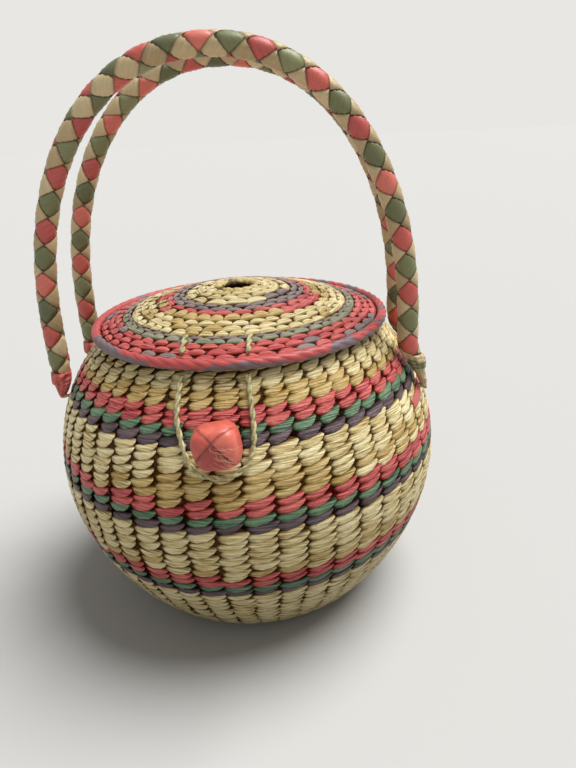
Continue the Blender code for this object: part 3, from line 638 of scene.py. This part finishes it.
# The route of the closure loop, as x and how far below the neck
loopRoute = ((-0.0205, 0.0037), (-0.0215, 0.0105), (-0.0218, 0.0185), (-0.0200, 0.0260),
             (-0.0178, 0.0330), (-0.0140, 0.0390), (-0.0080, 0.0423), (-0.0010, 0.0433),
             (0.0060, 0.0420), (0.0115, 0.0383), (0.0148, 0.0325), (0.0158, 0.0255),
             (0.0153, 0.0180), (0.0143, 0.0105), (0.0130, 0.0037))


def curved(points, steps):
    # a smooth line through all the points
    ends = [points[0] * 2 - points[1]] + points + [points[-1] * 2 - points[-2]]
    made = []
    for before, first, second, after in zip(ends, ends[1:], ends[2:], ends[3:]):
        for k in range(steps):
            t = k / steps
            made.append((first * 2 + (second - before) * t
                         + (before * 2 - first * 5 + second * 4 - after) * t ** 2
                         + (first * 3 - before - second * 3 + after) * t ** 3) / 2)
    return made + [points[-1]]


def evenly(points, gap):
    lengths = measured(points)[1]
    count = max(2, round(lengths[-1] / gap))
    made, index = [], 0
    for k in range(count + 1):
        goal = lengths[-1] * k / count
        while index < len(points) - 2 and lengths[index + 1] < goal:
            index += 1
        span = lengths[index + 1] - lengths[index]
        made.append(points[index].lerp(points[index + 1], (goal - lengths[index]) / span))
    return made, lengths[-1]


def pipes(name, lines, radius, rings, closed=False):
    # round pipes along lists of points, as one bmesh
    curve = bpy.data.curves.new(name, "CURVE")
    curve.dimensions = "3D"
    curve.bevel_depth = radius
    curve.bevel_resolution = rings
    curve.use_fill_caps = True
    for line in lines:
        spline = curve.splines.new("POLY")
        spline.points.add(len(line) - 1)
        for spot, point in zip(spline.points, line):
            spot.co = (*point, 1)
        spline.use_cyclic_u = closed
    drawn = addObject(name + "Curve", curve)
    mesh = bpy.data.meshes.new_from_object(drawn.evaluated_get(bpy.context.evaluated_depsgraph_get()))
    bpy.data.objects.remove(drawn, do_unlink=True)
    bm = bmesh.new()
    bm.from_mesh(mesh)
    bpy.data.meshes.remove(mesh)
    bmesh.ops.remove_doubles(bm, verts=bm.verts, dist=0.001 * mm)
    return bm


def twistedCord(name, points, radius, body, nodes, closed=False):
    path, length = evenly(points, radius * 0.55)
    turns = length / (radius * cordShape["twist"])
    turns = max(1, round(turns)) if closed else turns
    last = len(path) - 1
    across = Vector((1, 0.013, 0.007))       # leans off the axes, so that no cord runs along it
    plies = ([], [])
    for k, point in enumerate(path[:last] if closed else path):
        along = (path[min(k + 1, last)] - path[max(k - 1, 0)]).normalized()
        across = (across - along * across.dot(along)).normalized()
        for ply, line in enumerate(plies):
            angle = tau * turns * k / last + pi * ply
            side = across * cos(angle) + along.cross(across) * sin(angle)
            line.append(point + side * radius * cordShape["plyOff"])
    bm = pipes(name, plies, radius * cordShape["plyThick"], 1, closed)
    return finished(name, bm, [twistedStraw], body, nodes), path, length


def loopPoints():
    stand = cordShape["closure"] + 0.4 * mm
    made = []
    for x, drop in loopRoute:
        height = neckHeight() - drop
        slope = wallSlope(height)
        facing = 1 / hypot(1, slope)
        radius = wallRadius(height) + stand * facing
        made.append(Vector((x, -sqrt(radius ** 2 - x ** 2), height - stand * facing * slope)))
    rise = Vector((0, 0, 1.7 * mm))       # both ends go up out of sight under the rim
    return curved([made[0] + rise] + made + [made[-1] + rise], 4)


def closureLoop():
    points = loopPoints()
    piece, path, length = twistedCord("closureLoop", points, cordShape["closure"], "loop",
                                      ["closure_loop"])
    tuple(points[0])
    [tuple(p) for p in path]
    print("closure loop, metres:", round(length, 4))


closureLoop()


# x of each stitch, how near the lid's edge it ends, and how far it reaches inwards
lidStitch = {"left": -0.0205, "right": 0.0130, "near": 2.8 * mm, "reach": 13.4 * mm, "steps": 8}


def lidStitches():
    for side in ("left", "right"):
        x = lidStitch[side]
        points = []
        for k in range(lidStitch["steps"] + 1):
            share = k / lidStitch["steps"]
            out = lid["edgeRadius"] - lidStitch["near"] - lidStitch["reach"] * (1 - share)
            lift = cordShape["closure"] * (0.75 + 0.45 * sin(pi * share))
            points.append(Vector((x, -sqrt(out ** 2 - x ** 2),
                                  lidHeight(out) + 0.3 * mm + lift)))
        twistedCord(side + "LoopStitch", points, cordShape["closure"], "lid",
                    [side + "_loop_stitch"])


lidStitches()
# At the back a staple on the wall holds an eye on the lid, once on each side of the middle
hinge = {"line": (0.086106, 0.170611), "offset": 0.023, "half": 0.005, "bend": 0.0012}


def hingeCords():
    y, z = hinge["line"]
    for side, sign in (("left", -1), ("right", 1)):
        x = sign * hinge["offset"]
        points = []
        for way in (-1, 1):
            legX = x + way * hinge["half"]
            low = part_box(side + "_hinge_cord")[0].z + 0.3 * mm
            leg = [Vector((legX, y, height)) for height in (low, (low + z) / 2, z - hinge["bend"])]
            leg += [Vector((legX - way * hinge["bend"] * (1 - cos(a)), y,
                            z - hinge["bend"] * (1 - sin(a)))) for a in (0.52, 1.05, 1.57)]
            points += leg if way < 0 else leg[::-1]
        twistedCord(side + "HingeStaple", points, cordShape["staple"], "basket",
                    [side + "_hinge_cord"])
        low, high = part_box(side + "_hinge_eye")
        middle, half = (low + high) / 2, (high - low) / 2 - Vector((1, 1, 1)) * cordShape["eye"]
        ring = [Vector((x, middle.y + half.y * cos(a), middle.z + half.z * sin(a)))
                for a in (tau * k / 24 for k in range(25))]
        twistedCord(side + "HingeEye", ring, cordShape["eye"], "lid", [side + "_hinge_eye"],
                    closed=True)


hingeCords()
print("cords laid")


# Handles: a bundle of straw in a sleeve of four plaited strips

# The arch is half a superellipse. The legs are given as (height, x).
handle = {"halfWidth": 0.102, "rise": 0.145, "lift": 0.0035, "power": 2.15, "shift": -0.004,
          "steps": 160, "radius": 0.0059, "spread": 0.02792, "plaitEnds": (0.1500, 0.1532),
          "leftLeg": ((0.1570, -0.1060), (0.1508, -0.1061), (0.1447, -0.1070), (0.1386, -0.1082),
                      (0.1325, -0.1105)),
          "rightLeg": ((0.1690, 0.0980), (0.1629, 0.0982), (0.1568, 0.1008), (0.1508, 0.1047),
                       (0.1447, 0.1070), (0.1386, 0.1082), (0.1325, 0.1105))}
# Half length and half width of a visible patch as shares, its rise over the sleeve, and how the
# sleeve thins out over its last millimetres
patch = {"reach": 1.12, "width": 1.03, "dome": 0.4 * mm, "tuck": 0.8 * mm, "thick": 0.35 * mm,
         "levels": 29, "ending": 9 * mm, "thinner": 1.6 * mm}
# The angle at which the coloured line of the plait faces, from inside the arch (0) to the front (90),
# by share of the length from the left foot to the right one
plaitTwist = {"front": ((0, 115), (0.12, 90), (0.18, 74), (0.24, 58), (0.29, 38), (0.35, 10),
                        (0.53, -55), (0.68, -88), (0.9, -82), (1, -68)),
              "back": ((0, 88), (0.1, 76), (0.2, 68), (0.3, 55), (0.4, 32), (0.5, 8),
                       (0.62, -40), (0.8, -80), (1, -90))}


def twistAt(end, share):
    table = plaitTwist[end]
    for (near, first), (far, second) in zip(table, table[1:]):
        if share <= far:
            return radians(first + (second - first) * (share - near) / (far - near))
    return radians(table[-1][1])


def handleLine(y):
    base = neckHeight() + handle["lift"]
    left = [Vector((x, y, z)) for z, x in handle["leftLeg"]][::-1]
    right = [Vector((x, y, z)) for z, x in handle["rightLeg"]]
    arch = []
    for k in range(handle["steps"] + 1):
        angle = pi * (1 - k / handle["steps"])
        out = copysign(abs(cos(angle)) ** (2 / handle["power"]), cos(angle))
        up = max(sin(angle), 0.0) ** (2 / handle["power"])
        x = handle["shift"] + handle["halfWidth"] * out
        arch.append(Vector((x, y, base + handle["rise"] * up)))
    return left + arch + right


def palmMaterial(name, light, mid, deep, crease="#5C4630", strip=True, worn=(0.7, 1.0, 0.65),
                 bump=0.5, rough=0.42):
    # Palm leaf, dyed and pressed flat: smooth, satin, with painted shade in its creases and under its
    # edges. A strip has long faint veins along it; a folded piece only has fine scuffs.
    material, tree, shader = emptyMaterial(name)
    edge = addNode(tree, "Attribute", attribute_name="edge").outputs["Fac"]
    strand = addNode(tree, "Attribute", attribute_name="strand").outputs["Fac"]
    if strip:
        skin = addNode(tree, "UVMap", uv_map="straw")
        skin = addNode(tree, "Mapping", {"Vector": skin}, {"Scale": (0.09, 1.6, 1)}).outputs[0]
    else:
        skin = addNode(tree, "TexCoord").outputs["Object"]
    veins = addNode(tree, "TexNoise", {"Vector": skin},
                    {"Scale": 1.0 if strip else 420.0, "Detail": 4.0, "Roughness": 0.6})
    tone = addNode(tree, "Math", {0: strand, 1: veins}, operation="ADD")
    tone = addNode(tree, "MapRange", {"Value": tone}, {"From Min": 0.3, "From Max": 1.7})
    dyed = addNode(tree, "ValToRGB", {"Fac": tone})
    ramp = dyed.color_ramp.elements
    ramp[0].color, ramp[1].color = toLinear(deep), toLinear(light)
    ramp.new(0.5).color = toLinear(mid)
    # painted shade: the edge mask darkens the colour towards the crease colour
    dark = addNode(tree, "MapRange", {"Value": edge},
                   {"From Min": worn[0], "From Max": worn[1], "To Max": worn[2]})
    shaded = addNode(tree, "Mix", {0: dark, 6: dyed}, {7: crease},
                     data_type="RGBA", blend_type="MULTIPLY")
    relief = addNode(tree, "Bump", {"Height": veins}, {"Strength": bump, "Distance": 0.3 * mm})
    addNode(tree, shader, {"Base Color": shaded.outputs[2], "Normal": relief}, {"Roughness": rough})
    return material


plaitStrips = [palmMaterial("undyedPalmStrip", "#DEC99E", "#C2AA7E", "#987E56"),
               palmMaterial("redDyedPalmStrip", "#E6826E", "#CE6054", "#A24040"),
               palmMaterial("oliveDyedPalmStrip", "#96966A", "#76784E", "#565A3A")]


def plaitPlace(path):
    # the spot on the sleeve at a length along the handle and an angle round it
    lengths = measured(path)[1]

    def at(s, angle, radius):
        index = min(max(bisect.bisect_right(lengths, s) - 1, 0), len(path) - 2)
        share = (s - lengths[index]) / (lengths[index + 1] - lengths[index])
        point = path[index].lerp(path[index + 1], share)
        along = (path[min(index + 2, len(path) - 1)] - path[max(index - 1, 0)]).normalized()
        inner = Vector((along.z, 0, -along.x))
        return point + (inner * cos(angle) + Vector((0, -1, 0)) * sin(angle)) * radius
    return at, lengths[-1]


def flatPlate(columns, rows):
    bm = bmesh.new()
    bmesh.ops.create_grid(bm, x_segments=columns, y_segments=rows, size=1)
    bmesh.ops.solidify(bm, geom=bm.faces, thickness=0.2)
    return storedMesh("plate", bm)


def plaitedSleeve(end, y):
    line = evenly(handleLine(y), 0.5 * mm)[0]
    low = next(k for k, p in enumerate(line) if p.z >= handle["plaitEnds"][0])
    high = len(line) - next(k for k, p in enumerate(line[::-1]) if p.z >= handle["plaitEnds"][1])
    path = evenly(line[low:high], 2 * mm)[0]
    at, length = plaitPlace(path)
    bm, layers = newWeave()
    count = 2 * patch["levels"] + 1
    step = length / count
    plates = iter(copies(bm, flatPlate(6, 4), 2 * count))
    for m in range(count):
        for side in (0, 1):
            coloured = m % 2 == 1
            facing = pi * side + (0.0 if coloured else pi / 2)
            strip = 1 + ((m // 2 + side + 1) % 2) if coloured else 0
            lean = -1 if coloured else 1
            tone = chance.random()
            start = chance.uniform(0, 900)
            verts = next(plates)
            for vert in verts:
                a, b, under = vert.co.x, vert.co.y, abs(vert.co.z) > 0.1
                ra, rb = a * patch["reach"], b * patch["width"]
                s = (m + 0.5) * step + (ra - rb) * step / 2
                angle = facing + lean * (ra + rb) * pi / 4 + twistAt(end, s / length)
                ending = max(0.0, 1 - min(s, length - s) / patch["ending"])
                rise = (handle["radius"] - 0.1 * mm + patch["dome"] * (1 - b * b)
                        - patch["tuck"] * abs(a) ** 5 - patch["thinner"] * ending
                        - (patch["thick"] if under else 0))
                vert.co = at(min(max(s, 0.0), length), angle, rise)
                # the edge attribute paints shade along each patch's edges, where it goes under the
                # next
                coat(vert, layers, tone, max(abs(a) ** 4, abs(b) ** 8), start + a * 6, start + b * 5)
            paint(verts, strip)
    finished(end + "Plait", bm, plaitStrips, end + "_handle", [end + "_plait"])
    core = pipes(end + "Core", [path], handle["radius"] - 0.9 * mm, 3)
    finished(end + "Core", core, [coreStraw], end + "_handle", [end + "_core"])


for end, y in (("front", -handle["spread"]), ("back", handle["spread"])):
    plaitedSleeve(end, y)
print("handles plaited")


# Feet of the handles: the left ends are bound with a red strip, the right ones are tied off
# with an olive strip and their straw runs on down the shoulder in a flat bundle

# Centre lines as height and x, with the half thickness off the wall and the half width along it in mm
foot = {"left": {"line": ((0.1546, -0.1060, 6.1, 6.2), (0.1480, -0.1066, 5.8, 5.7),
                          (0.1430, -0.1072, 4.1, 4.8), (0.1395, -0.1079, 2.5, 3.5),
                          (0.1372, -0.1084, 1.1, 1.8)), "ridges": 0},
        "right": {"line": ((0.1582, 0.1008, 5.2, 5.6), (0.1535, 0.1032, 4.9, 5.5),
                           (0.1495, 0.1044, 3.8, 4.7), (0.1450, 0.1060, 2.9, 4.1),
                           (0.1400, 0.1076, 2.2, 3.5), (0.1350, 0.1090, 1.0, 2.0)), "ridges": 22},
        "steps": 40, "round": 36, "turns": 1.2, "fold": 0.9 * mm, "groove": 0.8 * mm, "cuff": 0.4}
strap = {"route": ((0.1105, -0.0190, 0.1385), (0.1065, -0.0330, 0.1355), (0.0985, -0.0480, 0.1325)),
         "half": 3.2 * mm, "thick": 0.35 * mm, "proud": 0.85 * mm, "dive": 1.2 * mm,
         "dome": 0.35 * mm}


def boundFoot(end, side, y):
    look = foot[side]
    line = curved([Vector((x, 0, z)) for z, x, thick, wide in look["line"]], 6)
    sizes = curved([Vector((thick, wide)) * mm for z, x, thick, wide in look["line"]], 6)
    bm, layers = newWeave()
    bmesh.ops.create_uvsphere(bm, u_segments=foot["round"], v_segments=foot["steps"], radius=1)
    strips = {}
    for vert in bm.verts:
        s = acos(max(-1.0, min(1.0, vert.co.z))) / pi
        angle = atan2(vert.co.y, vert.co.x)
        index = min(round(s * (len(line) - 1)), len(line) - 1)
        thick, wide = sizes[index]
        close = min(1.0, 7 * sin(pi * s)) ** 0.5
        turn = (s * foot["turns"] + angle / tau) % 1
        if look["ridges"] and s > foot["cuff"]:
            # a flat bundle of loose straws
            ridge = sin(angle * look["ridges"] / 2 + 2 * sin(s * 5 + angle))
            bulge, edge = foot["groove"] * (abs(ridge) ** 0.5 - 1), (1 - abs(ridge)) ** 0.5
            strips[vert] = 1 if turn < 0.1 and s < 0.8 else 0
        elif look["ridges"]:
            # the olive cuff that ties it
            ridge = sin(s * 60 + angle * 0.6)
            bulge, edge = foot["groove"] * abs(ridge) ** 0.5, (1 - abs(ridge)) ** 3
            strips[vert] = 2 if s > 0.16 and ridge > -0.1 else 0
        else:
            # one wide red strip folded round the leg
            bulge = foot["fold"] * (turn ** 1.6 - 0.5)
            edge = max(0.0, (turn - 0.9) * 10) + max(0.0, (0.06 - turn) * 16)
            strips[vert] = 1
        tone = 0.45 + 0.4 * sin(angle * 9 + s * 4)
        # edge paints shade in the grooves of the bundle and the cuff, and along the fold of the red
        # strip
        coat(vert, layers, tone, min(1.0, edge), s * 24, angle * 6)
        around = Vector((cos(angle) * (thick + bulge), sin(angle) * (wide + bulge), 0))
        vert.co = line[index] + Vector((0, y, 0)) + around * close
    for face in bm.faces:
        face.material_index = max(strips[vert] for vert in face.verts)
    finished(f"{end}{side.title()}Foot", bm, plaitStrips, end + "_handle", [f"{end}_{side}_wrap"])


def anchorCord(end, side):
    low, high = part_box(f"{end}_{side}_anchor")
    middle = (low + high) / 2
    points = [Vector((x, middle.y, middle.z)) for x in (low.x + 1 * mm, high.x - 1 * mm)]
    twistedCord(f"{end}{side.title()}Anchor", points, cordShape["anchor"], "basket",
                [f"{end}_{side}_anchor"])


def strapTail(end, sign):
    # the last red strip of the right foot, drawn flat along the wall and in between two stitches
    bm, layers = newWeave()
    route = curved([Vector((x, y * sign, z)) for x, y, z in strap["route"]], 8)
    for vert in copies(bm, flatPlate(12, 4), 1)[0]:
        a, b, under = vert.co.x, vert.co.y, abs(vert.co.z) > 0.1
        index = (a + 1) / 2 * (len(route) - 1)
        near = route[min(int(index), len(route) - 2)]
        spot = near.lerp(route[min(int(index) + 1, len(route) - 1)], index % 1)
        azimuth = atan2(spot.x, -spot.y)
        rise = spot.z + b * strap["half"] * (1 - 0.3 * a * a)
        radius = (wallRadius(rise) + strap["proud"] - strap["dive"] * max(0.0, a - 0.5)
                  - strap["dome"] * b * b - (strap["thick"] if under else 0))
        # the edge value paints shade along both edges of the strap
        coat(vert, layers, 0.35, abs(b) ** 6, a * 9, b * 3)
        vert.co = (radius * sin(azimuth), -radius * cos(azimuth), rise)
    paint(bm.verts, 1)
    finished(end + "RightStrapTail", bm, plaitStrips, "basket", [end + "_right_anchor"])


for end, y in (("front", -handle["spread"]), ("back", handle["spread"])):
    for side in ("left", "right"):
        boundFoot(end, side, y)
        anchorCord(end, side)
    strapTail(end, 1 if end == "front" else -1)
print("feet bound")


# Toggle: one wide coral strip of palm folded into a cushion, its folds crossing on the front

# Angles in degrees. lift, shift and turn say where the folds cross and how they are turned; each
# facet has how far it stands out and how light it is painted, lit on the top and right and in shade
# at the bottom; power is how square the cushion is.
toggle = {"centre": (0.0, -0.11668, 0.148437), "size": (0.0222, 0.0172, 0.0210), "power": 3.4,
          "roll": 8.0, "tilt": 28.0, "lift": 0.42, "shift": 0.02, "turn": 9.0, "crease": 0.05,
          "facets": {"top": (0.0, 0.75), "left": (0.05, 0.35), "bottom": (0.0, -0.1),
                     "right": (0.06, 0.9)},
          "cuts": 27, "wisps": 26, "wispThick": 0.09 * mm}
# the crease colour is painted shade in the folds
foldedPalm = palmMaterial("foldedCoralPalm", "#E87E6A", "#CE5C4E", "#A03E34", "#6A3028", strip=False,
                          worn=(0.0, 1.0, 1.0), bump=0.3, rough=0.38)


def addWisps(bm, layers):
    # loose fibres where the strip was folded, mostly at the lower right
    hair = bmesh.new()
    bmesh.ops.create_cone(hair, cap_ends=True, segments=3, radius1=1, radius2=0.4, depth=2)
    sides = [edge for edge in hair.edges if abs(edge.verts[0].co.z - edge.verts[1].co.z) > 1]
    bmesh.ops.subdivide_edges(hair, edges=sides, cuts=6)
    centre, half = Vector(toggle["centre"]), Vector(toggle["size"]) / 2
    power = toggle["power"]
    for verts in copies(bm, storedMesh("wisp", hair), toggle["wisps"]):
        x, z = chance.uniform(-0.2, 0.6), chance.uniform(-0.6, 0.4)
        way = chance.uniform(-1.1, -0.1)
        long, bend = chance.uniform(0.3, 0.75), chance.uniform(-0.4, 0.4)
        for vert in verts:
            share = vert.co.z / 2 + 0.5
            turn = way + bend * share
            dx, dz = x + cos(turn) * long * share, z + sin(turn) * long * share
            reach = max(abs(dx), abs(dz))
            depth = (1 - min(reach, 0.97) ** power) ** (1 / power) + 0.1
            depth += 0.12 * sin(pi * share)
            side = Vector((-sin(turn), 0, cos(turn)))
            spot = centre + Vector((dx * half.x, -depth * half.y, dz * half.z))
            coat(vert, layers, 1.0, 0.0, 0.0, 0.0)
            vert.co = spot + (side * vert.co.x + Vector((0, -1, 0)) * vert.co.y) * toggle["wispThick"]
        paint(verts, 1)


def foldedToggle():
    bm, layers = newWeave()
    bmesh.ops.create_cube(bm, size=2)
    bmesh.ops.subdivide_edges(bm, edges=bm.edges, cuts=toggle["cuts"], use_grid_fill=True)
    centre = Vector(toggle["centre"])
    turn = Matrix.Rotation(radians(-toggle["roll"]), 4, "Y")
    half = Vector(toggle["size"]) / 2
    tilt = radians(toggle["tilt"])
    across, up = cos(radians(toggle["turn"])), sin(radians(toggle["turn"]))
    power = toggle["power"]
    for vert in bm.verts:
        x, y, z = vert.co
        spot = vert.co * (abs(x) ** power + abs(y) ** power + abs(z) ** power) ** (-1 / power)
        # where the folds cross, seen from a little above the front
        right = spot.x + toggle["shift"]
        above = spot.z * cos(tilt) + (spot.y + 0.9) * sin(tilt) - toggle["lift"]
        fx, fz = right * across - above * up, right * up + above * across
        ahead = -spot.y * cos(tilt) + spot.z * sin(tilt)
        facing = max(0.0, min(1.0, (ahead - 0.25) * 3))
        first, second = (fx - fz) / 1.414, (fx + fz) / 1.414
        groove = max(exp(-(way / toggle["crease"]) ** 2) for way in (first, second)) * facing
        side = "top" if fz > abs(fx) else "bottom" if -fz > abs(fx) else "left" if fx < 0 else "right"
        plump = min(abs(first), abs(second), 0.5) * 0.16 * facing
        spot.y -= plump + facing * toggle["facets"][side][0] - groove * 0.06
        # painted light and shade: each facet's tone, and the groove that darkens the creases
        tone = toggle["facets"][side][1] * facing + 0.5 * (1 - facing)
        coat(vert, layers, tone, groove * 0.65, x * 10, z * 10)
        vert.co = centre + turn @ Vector((spot.x * half.x, spot.y * half.y, spot.z * half.z))
    addWisps(bm, layers)
    finished("toggleBody", bm, [foldedPalm, paleFibre], "basket", ["toggle"])
    low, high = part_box("toggle_stem")
    middle = (low + high) / 2
    points = [Vector((middle.x, y, middle.z)) for y in (high.y - 1.5 * mm, low.y)]
    twistedCord("toggleStem", points, cordShape["stem"], "basket", ["toggle_stem"])


foldedToggle()
print("toggle folded")


# Floor, light and world

studio = {"floor": "#C2C1BE", "behind": "#E8E7E3", "sky": 0.26,
          "key": {"from": (0.42, 0.14, 1.0), "power": 4.0, "spread": 40},
          "fill": {"from": (-0.5, -1.0, 0.45), "power": 0.1, "spread": 60}}


def makeStudio():
    bm = bmesh.new()
    bmesh.ops.create_circle(bm, cap_ends=True, segments=96, radius=12)
    floor = addObject("floor", storedMesh("floor", bm))
    material, tree, shader = emptyMaterial("paleFloor")      # matt, so that it only takes the shadow
    addNode(tree, shader, {}, {"Base Color": studio["floor"], "Roughness": 0.95})
    floor.data.materials.append(material)
    for name in ("key", "fill"):
        data = bpy.data.lights.new(name, "SUN")
        data.energy = studio[name]["power"]
        data.angle = radians(studio[name]["spread"])
        lamp = addObject(name, data)
        lamp.rotation_euler = (-Vector(studio[name]["from"])).to_track_quat("-Z", "Y").to_euler()
    world = bpy.data.worlds.new("studio")
    world.use_nodes = True
    tree = world.node_tree
    # white light on the basket, a pale backdrop for the camera and for reflections
    sky = addNode(tree, tree.nodes["Background"], {}, {"Color": "#FFFFFF", "Strength": studio["sky"]})
    seen = addNode(tree, "Background", {}, {"Color": studio["behind"], "Strength": 1.0})
    ray = addNode(tree, "LightPath").outputs
    direct = addNode(tree, "Math", {0: ray["Is Camera Ray"], 1: ray["Is Glossy Ray"]},
                     operation="MAXIMUM")
    direct = addNode(tree, "Math", {0: direct, 1: ray["Is Transmission Ray"]}, operation="MAXIMUM")
    either = addNode(tree, "MixShader", {0: direct, 1: sky, 2: seen})
    addNode(tree, tree.nodes["World Output"], {"Surface": either})
    bpy.context.scene.world = world
    bpy.context.scene.view_settings.view_transform = "Standard"


makeStudio()
print("studio lit")
